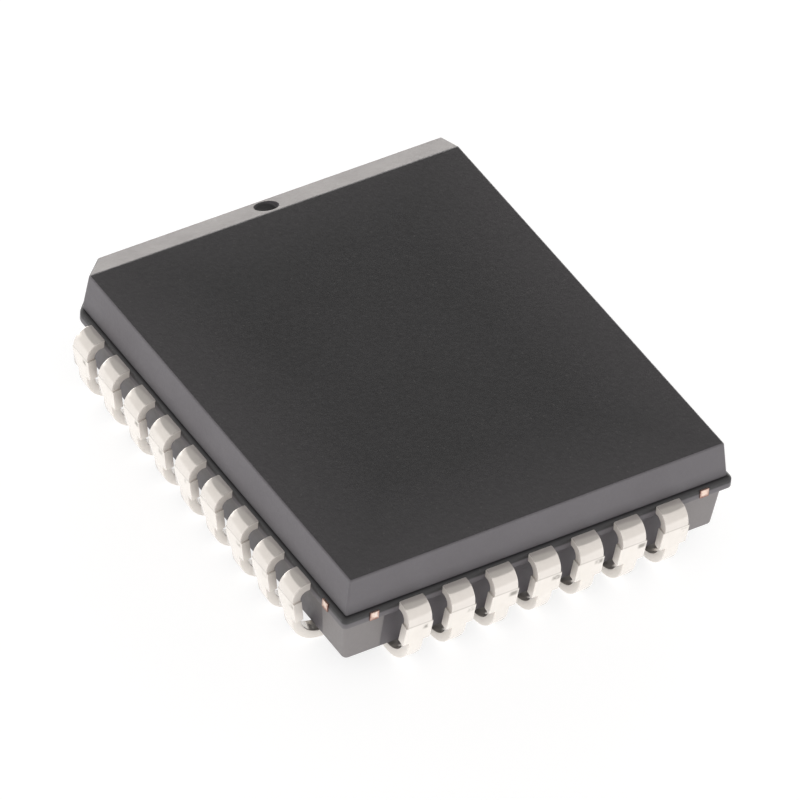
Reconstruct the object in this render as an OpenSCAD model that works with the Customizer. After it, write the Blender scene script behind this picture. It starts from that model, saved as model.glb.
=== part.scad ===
// Plastic leaded chip carrier with J-shaped leads on four sides.
// The seating plane of the lead feet is z = 0 and the index dimple is on the +Y side.

/* [Lead rows] */
// Distance between neighbouring leads
pitch = 1.27; // [1.15:0.01:1.45]
// Leads on each short side (front and back)
leads_short = 7; // [5:2:9]
// Leads on each long side (left and right)
leads_long = 9; // [7:2:11]
// From the last lead of a row to the edge of the ledge
row_margin = 1.97; // [1.8:0.01:2.3]

/* [Lead form] */
// Thickness of the lead frame's metal
lead_t = 0.25; // [0.2:0.01:0.3]
// Width of a lead where it leaves the ledge
lead_w = 0.7; // [0.62:0.01:0.76]
// Width of a lead where the bar between it and its neighbours was cut away
dam_w = 0.8; // [0.78:0.01:0.86]
// Width of a lead's foot
foot_w = 0.43; // [0.33:0.01:0.53]
// How far the leads stand out beyond the ledge
lead_out = 0.5; // [0.45:0.01:0.56]
// Level stretch of a lead outside the ledge, before it bends down
exit_l = 0.05; // [0.02:0.01:0.1]
// From the top of the lead frame down to the wider stretch of the leg
dam_depth = 0.51; // [0.47:0.01:0.6]
// Height of the wider stretch of the leg
dam_h = 0.66; // [0.5:0.01:0.72]
// Angle by which the leg leans in on its way down
leg_lean = 9; // [0:0.5:12]
// Outer radius of the foot's curl
curl_r = 0.95; // [0.8:0.01:1.05]
// Turn of the curl, from the outward side round to the tip
curl_turn = 168; // [120:1:172]

/* [Body] */
// Height of the top face above the seating plane
top_z = 3.3; // [3.1:0.01:3.6]
// Height of the top of the lead frame above the seating plane
frame_z = 2.19; // [2.1:0.01:2.35]
// Height of the underside above the seating plane
bottom_z = 0.52; // [0.45:0.01:0.65]
// How far the parting-line ledge stands out beyond the upper walls
ledge_over = 0.12; // [0.06:0.01:0.2]
// How far the ledge stands out beyond the lower walls
ledge_under = 0.17; // [0.1:0.01:0.22]
// Moulding compound above and below the lead frame in the ledge
ledge_cover = 0.05; // [0.03:0.01:0.1]
// Draft of the upper walls
upper_draft = 6; // [1:0.5:9]
// Draft of the lower walls
lower_draft = 5.5; // [1:0.5:9]
// Radius of the upright corners
corner_r = 0.08; // [0.05:0.01:0.3]
// Cut across the ledge's corner beside the index bevel, measured along each side
corner_cut = 1.05; // [0.9:0.01:1.25]
// How far the ledge stands out beyond the upper wall at the cut corner
corner_over = 0.04; // [0.02:0.01:0.2]

/* [Index mark] */
// Width of the bevel along the back top edge, seen from above
bevel_w = 0.86; // [0.8:0.01:1.1]
// Drop of the bevel from the top face to the back wall
bevel_drop = 0.37; // [0.2:0.01:0.5]
// Diameter of the dimple in the bevel
dimple_d = 0.66; // [0.5:0.01:0.76]
// Depth of the dimple below the middle of the bevel
dimple_depth = 0.18; // [0.1:0.01:0.3]

/* [Lower half] */
// How far the lower wall is set back from the ledge behind the leads
setback = 0.32; // [0.31:0.01:0.5]
// Length of the setback beyond the last lead's centre
setback_end = 0.64; // [0.5:0.01:0.8]
// Space between a curled foot and the compound inside and round it
curl_clear = 0.16; // [0.1:0.01:0.22]
// Diameter of the ejector mark in the underside
ejector_d = 2.5; // [1.5:0.1:4]
// Depth of the ejector mark
ejector_depth = 0.06; // [0.03:0.01:0.15]

/* [Lead frame inside] */
// Width of the die pad
pad_w = 4.2; // [3.8:0.1:4.8]
// Length of the die pad
pad_l = 5.4; // [5:0.1:6.2]
// Gap between the die pad and the finger tips
tip_gap = 0.3; // [0.2:0.01:0.4]
// Width of a finger at its tip
tip_w = 0.3; // [0.22:0.01:0.34]
// Space kept free for the tie bar at each end of a row of finger tips
tip_row_end = 0.4; // [0.35:0.01:0.5]
// Straight root of a finger inside the ledge
root_l = 0.8; // [0.5:0.05:1]
// Width of a tie bar
tie_w = 0.26; // [0.2:0.01:0.32]
// From the last lead of a row to the tie bar's cut end
tie_offset = 1.09; // [0.95:0.01:1.15]
// How far a tie bar's cut end stands out of the ledge
tie_out = 0.03; // [0.01:0.01:0.06]

/* [Chip inside] */
// Width of the die
die_w = 2.6; // [2.2:0.1:3.2]
// Length of the die
die_l = 3.4; // [2.8:0.1:4]
// Thickness of the die
die_t = 0.3; // [0.2:0.01:0.36]
// Thickness of the adhesive under the die
attach_t = 0.03; // [0.02:0.005:0.05]
// Rim of adhesive round the die
attach_rim = 0.15; // [0.05:0.01:0.25]
// Section of a bond wire
wire_d = 0.03; // [0.02:0.005:0.04]
// Height of a wire's loop above the die
wire_loop = 0.2; // [0.12:0.01:0.25]
// Share of a wire's reach that runs level before it slopes down
wire_level = 0.17; // [0.1:0.01:0.3]
// From the die's edge to the bond on it
bond_inset = 0.12; // [0.08:0.01:0.2]
// From the die's corner to the first bond of a row
bond_corner = 0.24; // [0.18:0.01:0.4]
// Width of the bond on the die
bond_w = 0.08; // [0.06:0.01:0.12]
// Height of the bond on the die
bond_h = 0.02; // [0.01:0.005:0.03]
// From a finger's tip to the bond on it
stitch_inset = 0.22; // [0.15:0.01:0.3]
// Length of the flattened end of a wire
stitch_l = 0.08; // [0.05:0.01:0.12]

/* [Hidden] */
// Fine enough for the true arcs
$fn = 64;
// How far a cutting shape reaches past the face it cuts
past = 1;

// Straight sides of the wedge that cuts a bend out of a ring
wedge_sides = 4;

// Whole numbers of leads
short_count = round(leads_short);
long_count = round(leads_long);
lead_count = 2 * (short_count + long_count);
// Leads with no wire: one in each row, as in the standard memory pin layout
unbonded = [1, 12, 17, 26];

function row_half(count) = (count - 1) / 2 * pitch;
body_w = 2 * (row_half(short_count) + row_margin);
body_l = 2 * (row_half(long_count) + row_margin);

// Levels
frame_low_z = frame_z - lead_t;
ledge_top_z = frame_z + ledge_cover;
ledge_low_z = frame_low_z - ledge_cover;
die_z = frame_z + attach_t;
die_top_z = die_z + die_t;

// Half sizes of the upper and lower walls where they meet the ledge
upper_x = body_w / 2 - ledge_over;
upper_y = body_l / 2 - ledge_over;
lower_x = body_w / 2 - ledge_under;
lower_y = body_l / 2 - ledge_under;
// How far the draft brings the walls in at the top and at the bottom
upper_in = (top_z - ledge_top_z) * tan(upper_draft);
lower_in = (ledge_low_z - bottom_z) * tan(lower_draft);
// Sum of |x| and |y| on the cut corner of the ledge, and the way its face looks, anticlockwise from +X
cut_sum = body_w / 2 + body_l / 2 - corner_cut;
cut_way = 135;

// Side view of a lead in its own plane: [distance outward from the ledge, height]
mid_z = frame_z - lead_t / 2;
bend_r = lead_out - exit_l;
bend_centre = [exit_l, frame_z - bend_r];
leg_side = [cos(leg_lean), -sin(leg_lean)];
leg_way = [-sin(leg_lean), -cos(leg_lean)];
leg_start = bend_centre + (bend_r - lead_t / 2) * leg_side;
leg_l = (leg_start.y - curl_r - (curl_r - lead_t / 2) * leg_side.y) / cos(leg_lean);
leg_end = leg_start + leg_l * leg_way;
curl_centre = leg_end - (curl_r - lead_t / 2) * leg_side;
curl_inner_r = curl_r - lead_t;
dam_top_z = frame_z - dam_depth;
dam_low_z = dam_top_z - dam_h;

// Pocket for the curled tips, inside the rim that the feet curl round
pocket_in = curl_r - curl_centre.x + curl_clear;
pocket_z = curl_centre.y - curl_inner_r * sin(180 - curl_turn) + curl_clear;
rim_room = pow(curl_inner_r - curl_clear, 2) - pow(curl_centre.y - bottom_z, 2);
rim_in = sqrt(max(rim_room, 0)) - curl_centre.x;

// Which row a lead is in, counted anticlockwise from the back row, and its place along that row
function place(pin) = (pin - 1 + floor((short_count - 1) / 2)) % lead_count;
function row_start(row) = floor((row + 1) / 2) * short_count + floor(row / 2) * long_count;
function row_of(pin) = len([for (row = [1:3]) if (place(pin) >= row_start(row)) row]);
function is_short(row) = row % 2 == 0;
function row_count(row) = is_short(row) ? short_count : long_count;
function step_of(pin) = (row_count(row_of(pin)) - 1) / 2 - (place(pin) - row_start(row_of(pin)));
function along(short_side, short_value, long_value) = short_side ? short_value : long_value;

// Sizes of a row in its own frame, where y points outward and x runs along the row
function ledge_half(row) = along(is_short(row), body_l, body_w) / 2;
function pad_half(row) = along(is_short(row), pad_l, pad_w) / 2;
function pad_side(row) = along(is_short(row), pad_w, pad_l);
function die_half(row) = along(is_short(row), die_l, die_w) / 2;
function die_side(row) = along(is_short(row), die_w, die_l);
function tip_pitch(row) = (pad_side(row) - 2 * tip_row_end) / (row_count(row) - 1);
function bond_pitch(row) = (die_side(row) - 2 * bond_corner) / (row_count(row) - 1);

function lead_name(pin) = str("lead_", pin < 10 ? "0" : "", pin);
function corners_of_bar(from, to, width) =
    let (way = (to - from) / norm(to - from), side = [-way.y, way.x] * width / 2)
    [from + side, to + side, to - side, from - side];

// Rectangle with round corners and the cut corner at its back left
module outline(half_x, half_y) {
    difference() {
        union() {
            square([2 * half_x, 2 * (half_y - corner_r)], center = true);
            square([2 * (half_x - corner_r), 2 * half_y], center = true);
            for (x = [-1, 1], y = [-1, 1])
                translate([x * (half_x - corner_r), y * (half_y - corner_r)])
                    circle(corner_r);
        }
        polygon([[-half_x - past, half_y + past], [-half_x - past, cut_sum - half_x - past],
                 [half_y + past - cut_sum, half_y + past]]);
    }
}

// Extrudes a section drawn in x and z along the body's length
module along_y(length) {
    rotate([90, 0, 0])
        linear_extrude(length, center = true)
            children();
}

// Extrudes a section drawn in y and z along the body's width
module along_x(length) {
    rotate([90, 0, 90])
        linear_extrude(length, center = true)
            children();
}

// What lies inside the cut corner's face: upright up to a near level, then drawn in towards a far level
module inside_cut(over, near_z, drawn_in, far_z) {
    out = cut_sum / sqrt(2) - over;
    rotate(cut_way)
        along_y(body_w + body_l)
            polygon([[-body_l, mid_z], [out, mid_z], [out, near_z], [out - drawn_in, far_z], [-body_l, far_z]]);
}

// Walls above the ledge, with the index bevel along the back
module upper_half() {
    height = top_z - ledge_top_z;
    back_in = (height - bevel_drop) * tan(upper_draft);
    intersection() {
        along_y(body_l)
            polygon([[-upper_x, mid_z], [upper_x, mid_z], [upper_x, ledge_top_z],
                     [upper_x - upper_in, top_z], [upper_in - upper_x, top_z], [-upper_x, ledge_top_z]]);
        along_x(body_w)
            polygon([[-upper_y, mid_z], [upper_y, mid_z], [upper_y, ledge_top_z],
                     [upper_y - back_in, top_z - bevel_drop], [upper_y - back_in - bevel_w, top_z],
                     [upper_in - upper_y, top_z], [-upper_y, ledge_top_z]]);
        linear_extrude(top_z + past)
            outline(upper_x, upper_y);
        inside_cut(corner_over, ledge_top_z, upper_in, top_z);
    }
}

// Walls below the ledge
module lower_half() {
    intersection() {
        along_y(body_l)
            polygon([[-lower_x, mid_z], [-lower_x, ledge_low_z], [lower_in - lower_x, bottom_z],
                     [lower_x - lower_in, bottom_z], [lower_x, ledge_low_z], [lower_x, mid_z]]);
        along_x(body_w)
            polygon([[-lower_y, mid_z], [-lower_y, ledge_low_z], [lower_in - lower_y, bottom_z],
                     [lower_y - lower_in, bottom_z], [lower_y, ledge_low_z], [lower_y, mid_z]]);
        linear_extrude(frame_z)
            outline(lower_x, lower_y);
        inside_cut(ledge_under, ledge_low_z, lower_in, bottom_z);
    }
}

module ledge() {
    translate([0, 0, ledge_low_z])
        linear_extrude(ledge_top_z - ledge_low_z)
            outline(body_w / 2, body_l / 2);
}

// Space under the ledge for one row of leads: a setback wall, and a pocket for the curled tips behind its rim
module row_space(row) {
    half = row_half(row_count(row)) + setback_end;
    edge = ledge_half(row);
    under_z = bottom_z - past;
    rotate(90 * row)
        along_x(2 * half) {
            polygon([[edge - setback, under_z], [edge - setback, ledge_low_z],
                     [edge + past, ledge_low_z], [edge + past, under_z]]);
            polygon([[edge - pocket_in, under_z], [edge - pocket_in, pocket_z],
                     [edge - rim_in, pocket_z], [edge - rim_in, under_z]]);
        }
}

module index_dimple() {
    bevel_mid_y = upper_y - (top_z - ledge_top_z - bevel_drop) * tan(upper_draft) - bevel_w / 2;
    translate([0, bevel_mid_y, top_z - bevel_drop / 2 - dimple_depth])
        cylinder(d = dimple_d, h = past);
}

module ejector_mark() {
    translate([0, 0, bottom_z - past])
        cylinder(d = ejector_d, h = past + ejector_depth);
}

module moulded_body() {
    color([0.2, 0.2, 0.21])
        difference() {
            union() {
                upper_half();
                ledge();
                lower_half();
            }
            for (row = [0:3])
                row_space(row);
            index_dimple();
            ejector_mark();
            for (pin = [1:lead_count])
                in_row(pin)
                    finger(pin);
            die_pad();
            die_attach();
            die();
            bond_wires();
        }
}

// Puts a shape drawn in its row's own frame into its place round the body
module in_row(pin) {
    rotate(90 * row_of(pin))
        children();
}

// Part of a lead inside the body: a straight root and a taper towards the die pad
module finger(pin) {
    row = row_of(pin);
    root_x = step_of(pin) * pitch;
    tip_x = step_of(pin) * tip_pitch(row);
    ledge_y = ledge_half(row);
    root_y = ledge_y - root_l;
    tip_y = pad_half(row) + tip_gap;
    translate([0, 0, frame_low_z])
        linear_extrude(lead_t)
            polygon([[root_x - lead_w / 2, ledge_y], [root_x - lead_w / 2, root_y],
                     [tip_x - tip_w / 2, tip_y], [tip_x + tip_w / 2, tip_y],
                     [root_x + lead_w / 2, root_y], [root_x + lead_w / 2, ledge_y]]);
}

// Part of a ring of metal strip round a centre, between two angles
module bend(centre, outer_r, from, to) {
    outside = outer_r + past;
    translate(centre)
        intersection() {
            difference() {
                circle(outer_r);
                circle(outer_r - lead_t);
            }
            polygon(concat([[0, 0]], [for (i = [0:wedge_sides])
                let (angle = from + (to - from) * i / wedge_sides)
                outside * [cos(angle), sin(angle)]]));
        }
}

// Straight leg in side view, with a pointed end inside each of the bends that it joins
module leg() {
    side = leg_side * lead_t / 2;
    point = leg_way * lead_t / 2;
    polygon([leg_start + side, leg_end + side, leg_end + point, leg_end - side, leg_start - side,
             leg_start - point]);
}

// Side view of a lead: level out of the ledge, bent down, leaning in along the leg and curled under in a J
module lead_profile() {
    translate([-root_l / 2, frame_low_z])
        square([root_l / 2 + exit_l, lead_t]);
    bend(bend_centre, bend_r, 90, -leg_lean);
    leg();
    bend(curl_centre, curl_r, -leg_lean, -curl_turn);
}

// The stretch of a lead between two heights, with one width
module lead_stretch(width, low_z, high_z) {
    along_x(width)
        intersection() {
            lead_profile();
            translate([curl_centre.x - curl_r - past, low_z])
                square([2 * (curl_r + past), high_z - low_z]);
        }
}

// Part of a lead outside the body, from the ledge outward along y
module outer_lead() {
    dam_mid_z = dam_top_z - dam_h / 2;
    lead_stretch(lead_w, dam_mid_z, frame_z);
    lead_stretch(dam_w, dam_low_z, dam_top_z);
    lead_stretch(foot_w, 0, dam_mid_z);
}

module lead(pin) {
    color([0.86, 0.85, 0.83])
        in_row(pin) {
            finger(pin);
            translate([step_of(pin) * pitch, ledge_half(row_of(pin)), 0])
                outer_lead();
        }
}

// Flat pad with a tie bar to each corner, cut off just outside the ledge, or flush with it at the cut corner
module die_pad() {
    color([0.85, 0.55, 0.4])
        translate([0, 0, frame_low_z])
            linear_extrude(lead_t)
                intersection() {
                    outline(body_w / 2 + tie_out, body_l / 2 + tie_out);
                    union() {
                        square([pad_w, pad_l], center = true);
                        for (x = [-1, 1], y = [-1, 1])
                            tie_bar(x, y);
                    }
                }
}

// Bar from the pad's corner out through the cut corner, or to a fork with one arm to each side of the body
module tie_bar(x, y) {
    pad_corner = [x * (pad_w - tie_w) / 2, y * (pad_l - tie_w) / 2];
    fork = [x * (row_half(short_count) + tie_offset), y * (row_half(long_count) + tie_offset)];
    if (x < 0 && y > 0) {
        polygon(corners_of_bar(pad_corner, fork + row_margin * [x, y], tie_w));
    } else {
        polygon(corners_of_bar(pad_corner, fork, tie_w));
        polygon(corners_of_bar(fork - [x * tie_w / 2, 0], fork + [x * row_margin, 0], tie_w));
        polygon(corners_of_bar(fork - [0, y * tie_w / 2], fork + [0, y * row_margin], tie_w));
    }
}

module die_attach() {
    color([0.62, 0.62, 0.62])
        translate([0, 0, frame_z + attach_t / 2])
            cube([die_w + 2 * attach_rim, die_l + 2 * attach_rim, attach_t], center = true);
}

module die() {
    color([0.35, 0.37, 0.42])
        translate([0, 0, die_z + die_t / 2])
            cube([die_w, die_l, die_t], center = true);
}

// Side view of a wire: up from the die, over a short loop and down to a flattened end on the finger
module wire_profile(reach) {
    loop_z = die_top_z + wire_loop;
    bond_z = die_top_z + bond_h;
    knee = reach * wire_level;
    polygon([[-bond_w / 2, die_top_z], [-bond_w / 2, bond_z], [-wire_d / 2, bond_z],
             [-wire_d / 2, loop_z], [knee, loop_z],
             [reach, frame_z + wire_d / 2], [reach, frame_z], [reach - stitch_l, frame_z],
             [knee, loop_z - wire_d], [wire_d / 2, loop_z - wire_d],
             [wire_d / 2, bond_z], [bond_w / 2, bond_z], [bond_w / 2, die_top_z]]);
}

module bond_wire(pin) {
    row = row_of(pin);
    tip = [step_of(pin) * tip_pitch(row), pad_half(row) + tip_gap];
    root = [step_of(pin) * pitch, ledge_half(row) - root_l];
    stitch = tip + (root - tip) * stitch_inset / (root.y - tip.y);
    bond = [step_of(pin) * bond_pitch(row), die_half(row) - bond_inset];
    way = stitch - bond;
    in_row(pin)
        translate(bond)
            rotate([90, 0, atan2(way.y, way.x)])
                linear_extrude(wire_d, center = true)
                    wire_profile(norm(way));
}

module bond_wires() {
    color([0.95, 0.78, 0.35])
        for (pin = [1:lead_count])
            if (len(search(pin, unbonded)) == 0)
                bond_wire(pin);
}

moulded_body();
for (pin = [1:lead_count])
    lead(pin);
die_pad();
die_attach();
die();
bond_wires();
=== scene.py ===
from math import cos, floor, radians, sin, tan

import bmesh
import bpy
from mathutils import Matrix, Vector


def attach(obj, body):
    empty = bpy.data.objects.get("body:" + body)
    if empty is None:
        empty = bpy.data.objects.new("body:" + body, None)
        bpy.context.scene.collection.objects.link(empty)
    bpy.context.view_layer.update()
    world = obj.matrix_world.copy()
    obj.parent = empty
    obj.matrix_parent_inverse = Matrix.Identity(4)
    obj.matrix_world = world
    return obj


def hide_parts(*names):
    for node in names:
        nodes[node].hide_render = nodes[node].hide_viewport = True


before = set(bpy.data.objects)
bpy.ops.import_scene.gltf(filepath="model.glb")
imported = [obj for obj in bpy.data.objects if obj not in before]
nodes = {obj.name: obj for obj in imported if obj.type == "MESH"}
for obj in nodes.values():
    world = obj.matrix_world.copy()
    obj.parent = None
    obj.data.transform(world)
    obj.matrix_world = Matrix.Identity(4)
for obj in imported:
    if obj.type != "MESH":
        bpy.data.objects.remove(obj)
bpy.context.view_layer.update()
MM = 0.001

# Sizes of the package, as in the part's source
PITCH = 1.27 * MM
SHORT_LEADS = 7
LONG_LEADS = 9
BODY_W = 11.56 * MM
BODY_L = 14.10 * MM
TOP_Z = 3.3 * MM
FRAME_Z = 2.19 * MM
METAL = 0.25 * MM
MID_Z = FRAME_Z - METAL / 2
BOTTOM_Z = 0.52 * MM
LEDGE_LIP = 0.05 * MM
LEDGE_TOP = FRAME_Z + LEDGE_LIP
LEDGE_LOW = FRAME_Z - METAL - LEDGE_LIP
LEDGE_OVER = 0.12 * MM
LEDGE_UNDER = 0.17 * MM
UPPER_DRAFT = tan(radians(6))
LOWER_DRAFT = tan(radians(5.5))
CORNER_CUT = 1.05 * MM
CUT_OUT = (BODY_W / 2 + BODY_L / 2 - CORNER_CUT) / 2 ** 0.5
CORNER_OVER = 0.04 * MM
BEVEL_W = 0.86 * MM
BEVEL_DROP = 0.37 * MM
BEVEL_LOW = TOP_Z - BEVEL_DROP
DIMPLE_R = 0.33 * MM
DIMPLE_DEPTH = 0.18 * MM
DIMPLE_Y = BODY_L / 2 - LEDGE_OVER - (BEVEL_LOW - LEDGE_TOP) * UPPER_DRAFT - BEVEL_W / 2
SETBACK = 0.32 * MM
SETBACK_END = 0.64 * MM
SETBACK_BITE = 0.01 * MM
POCKET_IN = 1.698 * MM
RIM_IN = 0.915 * MM
POCKET_Z = 0.964 * MM
EJECTOR_R = 1.25 * MM
EJECTOR_DEPTH = 0.06 * MM
TIE_W = 0.26 * MM
TIE_X = 4.90 * MM
TIE_Y = 6.17 * MM

# Form of a lead, in its own frame: x is its width, y points outward from the ledge
LEAD_W = 0.7 * MM
DAM_W = 0.8 * MM
FOOT_W = 0.43 * MM
ROOT = 0.8 * MM
EXIT = 0.05 * MM
LEAD_OUT = 0.5 * MM
BEND_R = LEAD_OUT - EXIT
LEAN = radians(9)
CURL_R = 0.95 * MM
CURL_TURN = radians(168)
DAM_TOP = FRAME_Z - 0.51 * MM
DAM_LOW = DAM_TOP - 0.66 * MM
PAD_W = 4.2 * MM
PAD_L = 5.4 * MM
TIP_GAP = 0.3 * MM
TIP_W = 0.3 * MM
TIP_ROW_END = 0.4 * MM
BEND_STEPS = 8
CURL_STEPS = 16

# Roundings of edges
UPPER_ROUND = 0.05 * MM
UPRIGHT_ROUND = 0.13 * MM
LEDGE_TOP_ROUND = 0.1 * MM
LEDGE_LOW_ROUND = 0.04 * MM
BOTTOM_ROUND = 0.06 * MM
SETBACK_ROUND = 0.06 * MM
POCKET_ROUND = 0.08 * MM
DIMPLE_ROUND = 0.05 * MM
EJECTOR_ROUND = 0.03 * MM
LEAD_ROUND = 0.03 * MM

# Limits while modelling: corners nearer than SAME_PLACE are one, cutters reach CUT_SPARE past the body
SAME_PLACE = 1e-7
CUT_TOLERANCE = 1e-8
CUT_SPARE = 1 * MM
SMOOTH_BELOW = radians(35)
SHARP_ABOVE = radians(40)
DISC_SIDES = 48

# Colours of the moulding compound; a pair runs from its darker to its lighter patches
WALL_TONES = ((0.127, 0.118, 0.129), (0.144, 0.135, 0.147))
# Painted light: the corner blocks below the ledge are painted paler, for the floor's light that falls
# on them where no leads shade them
LIT_BLOCK_TONES = ((0.216, 0.201, 0.201), (0.242, 0.225, 0.225))
# The bevel's own mottled tone, also painted paler than the walls as painted light from the glow low
# behind the object
BEVEL_MOTTLE_AND_LIGHT_TONES = ((0.240, 0.221, 0.216), (0.292, 0.271, 0.263))
# Painted shade: the level faces take a far darker tone than the walls of the same compound, for the dim
# light they get
SHADED_LEVEL_TONES = ((0.0155, 0.0148, 0.0160), (0.0195, 0.0188, 0.0205))
# Painted light on the top: paler along its outline than in its middle
TOP_EDGE_LIT_TONE = (0.040, 0.037, 0.040)
# Painted light: the walls behind the long rows are painted paler towards the ledge than those behind
# the short rows
BEHIND_LONG_LIT_TONE = (0.285, 0.268, 0.256)
FLECK_TONE = (0.20, 0.19, 0.18)
FLECK_SHARE = 0.15
# Strength of the painted shade on the ledge, and where it fades up the foot of the walls
LEDGE_SHADE_SHARE = 0.95
WALL_FOOT_SHADE_SHARE = 0.32
DIMPLE_SHADE_SHARE = 0.85

# Shine of the compound; the grain sets its roughness within the range
COMPOUND_SPECULAR = 0.6
COMPOUND_ROUGHNESS = (0.42, 0.54)
LEVEL_SMOOTHER = 0.14
GRAIN_RANGE = (0.25, 0.75)

# Heights and distances over which tones of the compound change
TOP_EDGE_NEAR = 0.3 * MM
TOP_EDGE_FAR = 3.0 * MM
BLOCK_SOFT = 0.05 * MM
BEHIND_LONG_LOW = 0.8 * MM
# Heights of the painted shade on the ledge and at the foot of the walls
LEDGE_SHADE_START = LEDGE_TOP - 0.20 * MM
LEDGE_SHADE_FULL = LEDGE_TOP - 0.14 * MM
LEDGE_SHADE_END = LEDGE_TOP + 0.03 * MM
WALL_FOOT_SHADE_END = LEDGE_TOP + 0.35 * MM

# Colours of the tin and places of its marks; SHORT_ROW_Y parts the short rows from the long ones
# Painted light and shade: the leg below the top of the wider stretch is painted paler than the root and
# bend above it
LIT_LEG_TONES = ((0.93, 0.88, 0.825), (0.98, 0.93, 0.875))
SHADED_BEND_TONES = ((0.85, 0.80, 0.75), (0.90, 0.85, 0.80))
WORN_TONE = (0.62, 0.59, 0.55)
# Painted shade: the sheared sides are painted darker, more so up towards the ledge, where neighbouring
# leads shade them
SHEARED_SHADE_TONE = (0.52, 0.48, 0.45)
MARK_TONE = (0.27, 0.25, 0.22)
WORN_SHARE = 0.05
MARK_SHARE = 0.8
CREASE_SHARE = 0.5
SIDE_SHADE_SHARES = (0.05, 0.5)
TIN_METALLIC = 0.65
SHEARED_METALLIC = 0.1
TIN_ROUGHNESS = (0.13, 0.18)
SHEARED_ROUGHER = 0.35
SHORT_ROW_Y = 5.9 * MM
BEND_TONE_SOFT = 0.02 * MM
MARK_X = 0.24 * MM
MARK_NEAR = 0.06 * MM
MARK_FAR = 0.16 * MM
MARK_LOW = 1.42 * MM
MARK_HIGH = 1.66 * MM
MARK_SOFT = 0.08 * MM
CREASE_W = 0.035 * MM
SIDE_SHADE_LOW = 1.0 * MM
SIDE_SHADE_HIGH = 1.5 * MM

# Colours of the cut ends of the tie bars
COPPER_TONES = ((0.92, 0.70, 0.58), (0.98, 0.85, 0.76))
# Brown of the torn rims, which also paints the shade on the rounded rims of the cut end
TORN_AND_SHADED_TONE = (0.36, 0.17, 0.13)
BRIGHT_RAISE = 0.02 * MM
RAGGED_SHARE = 0.3
TORN_RANGE = (0.55, 1.25)
COPPER_ROUGHNESS = (0.26, 0.44)

# Heights of the bumps
GRAIN_DEPTH = 0.004 * MM
INNER_GRAIN_DEPTH = 0.002 * MM

# Light: strengths, headings seen from the object, and cosines between which its stretches fade
SKY = 0.85
LOW_GLOW = 3.4
CEILING = 0.33
SKY_TINT = (1.0, 0.985, 0.97, 1)
BEHIND_HEADING = (0.574, 0.819, 0)
CEILING_HEADING = (0.243, 0.346, 0.906)
GLOW_HEIGHT = (0.15, 0.4)
GLOW_WIDTH = (0.3, 0.8)
CEILING_EDGE = (0.71, 0.75)
WHITE = (1, 1, 1, 1)
FLOOR_SIZE = 1.2
FLOOR_ROUGHNESS = 0.6
FLOOR_GLOW = 0.6
FLOOR_GLOW_SEEN = 0.8
FLOOR_TONE = (0.9, 0.9, 0.9)
FLOOR_TONE_SEEN = (0.3, 0.3, 0.3)

# Camera of the photograph, fitted to the lead rows
CAMERA_TURN = radians(-35.024)
CAMERA_RISE = radians(42.073)
CAMERA_ROLL = radians(5.219)
CAMERA_AIM = Vector((-0.223, -0.650, 2.19)) * MM
CAMERA_DISTANCE = 317.335 * MM
FOCAL_PIXELS = 12484.22
PHOTO_PIXELS = 800
SENSOR_W = 36
CLIP_START = 0.01


# Ways of working in edit mode

def take(piece):
    """Makes a piece the only selected and the active object."""
    bpy.ops.object.select_all(action="DESELECT")
    piece.select_set(True)
    bpy.context.view_layer.objects.active = piece


def open_mesh(piece):
    take(piece)
    bpy.ops.object.mode_set(mode="EDIT")


def close_mesh():
    bpy.ops.object.mode_set(mode="OBJECT")


def pick(piece, kind, wanted):
    """Selects the corners, edges or faces of an open mesh that the test wanted() lets through."""
    bpy.ops.mesh.select_mode(type=kind)
    bpy.ops.mesh.select_all(action="DESELECT")
    shape = bmesh.from_edit_mesh(piece.data)
    parts = {"VERT": shape.verts, "EDGE": shape.edges, "FACE": shape.faces}[kind]
    parts.ensure_lookup_table()
    for part in parts:
        if wanted(part):
            part.select_set(True)
    bmesh.update_edit_mesh(piece.data)


def middle(edge):
    return (edge.verts[0].co + edge.verts[1].co) / 2


def lies_at(edge, height):
    return all(abs(corner.co.z - height) < SAME_PLACE for corner in edge.verts)


def is_upright(edge):
    way = edge.verts[1].co - edge.verts[0].co
    return abs(way.z) > 0.9 * way.length


def slice_off(point, outward):
    """Cuts the open mesh along a plane, drops what lies outward of it and closes the cut."""
    bpy.ops.mesh.select_all(action="SELECT")
    bpy.ops.mesh.bisect(
        plane_co=point, plane_no=outward, use_fill=True, clear_outer=True, threshold=CUT_TOLERANCE
    )


def bevel_selected(radius, steps):
    bpy.ops.mesh.bevel(
        offset=radius, offset_type="OFFSET", segments=steps, affect="EDGES", clamp_overlap=True
    )


def round_edges(piece, radius, steps, wanted):
    """Rounds the edges of an open mesh that the test wanted() lets through."""
    pick(piece, "EDGE", wanted)
    bevel_selected(radius, steps)


def add_block(name, half_x, half_y, low, high, centre=(0, 0)):
    bpy.ops.object.select_all(action="DESELECT")
    bpy.ops.mesh.primitive_cube_add(size=1, location=(centre[0], centre[1], (low + high) / 2))
    block = bpy.context.object
    block.name = name
    block.scale = (2 * half_x, 2 * half_y, high - low)
    bpy.ops.object.transform_apply(location=True, rotation=True, scale=True)
    return block


def combine(piece, other, how):
    """Joins the other shape to the piece, or cuts it out of the piece, and drops it."""
    take(piece)
    change = piece.modifiers.new("combine", "BOOLEAN")
    change.operation = how
    change.solver = "EXACT"
    change.object = other
    bpy.ops.object.modifier_apply(modifier=change.name)
    bpy.data.objects.remove(other, do_unlink=True)


def smooth(piece):
    """Shades rounded edges smoothly and keeps the flat faces between them flat."""
    take(piece)
    bpy.ops.object.shade_smooth_by_angle(angle=SMOOTH_BELOW)
    even = piece.modifiers.new("even_shading", "WEIGHTED_NORMAL")
    even.keep_sharp = True
    bpy.ops.object.modifier_apply(modifier=even.name)


# Ways of joining nodes

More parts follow.
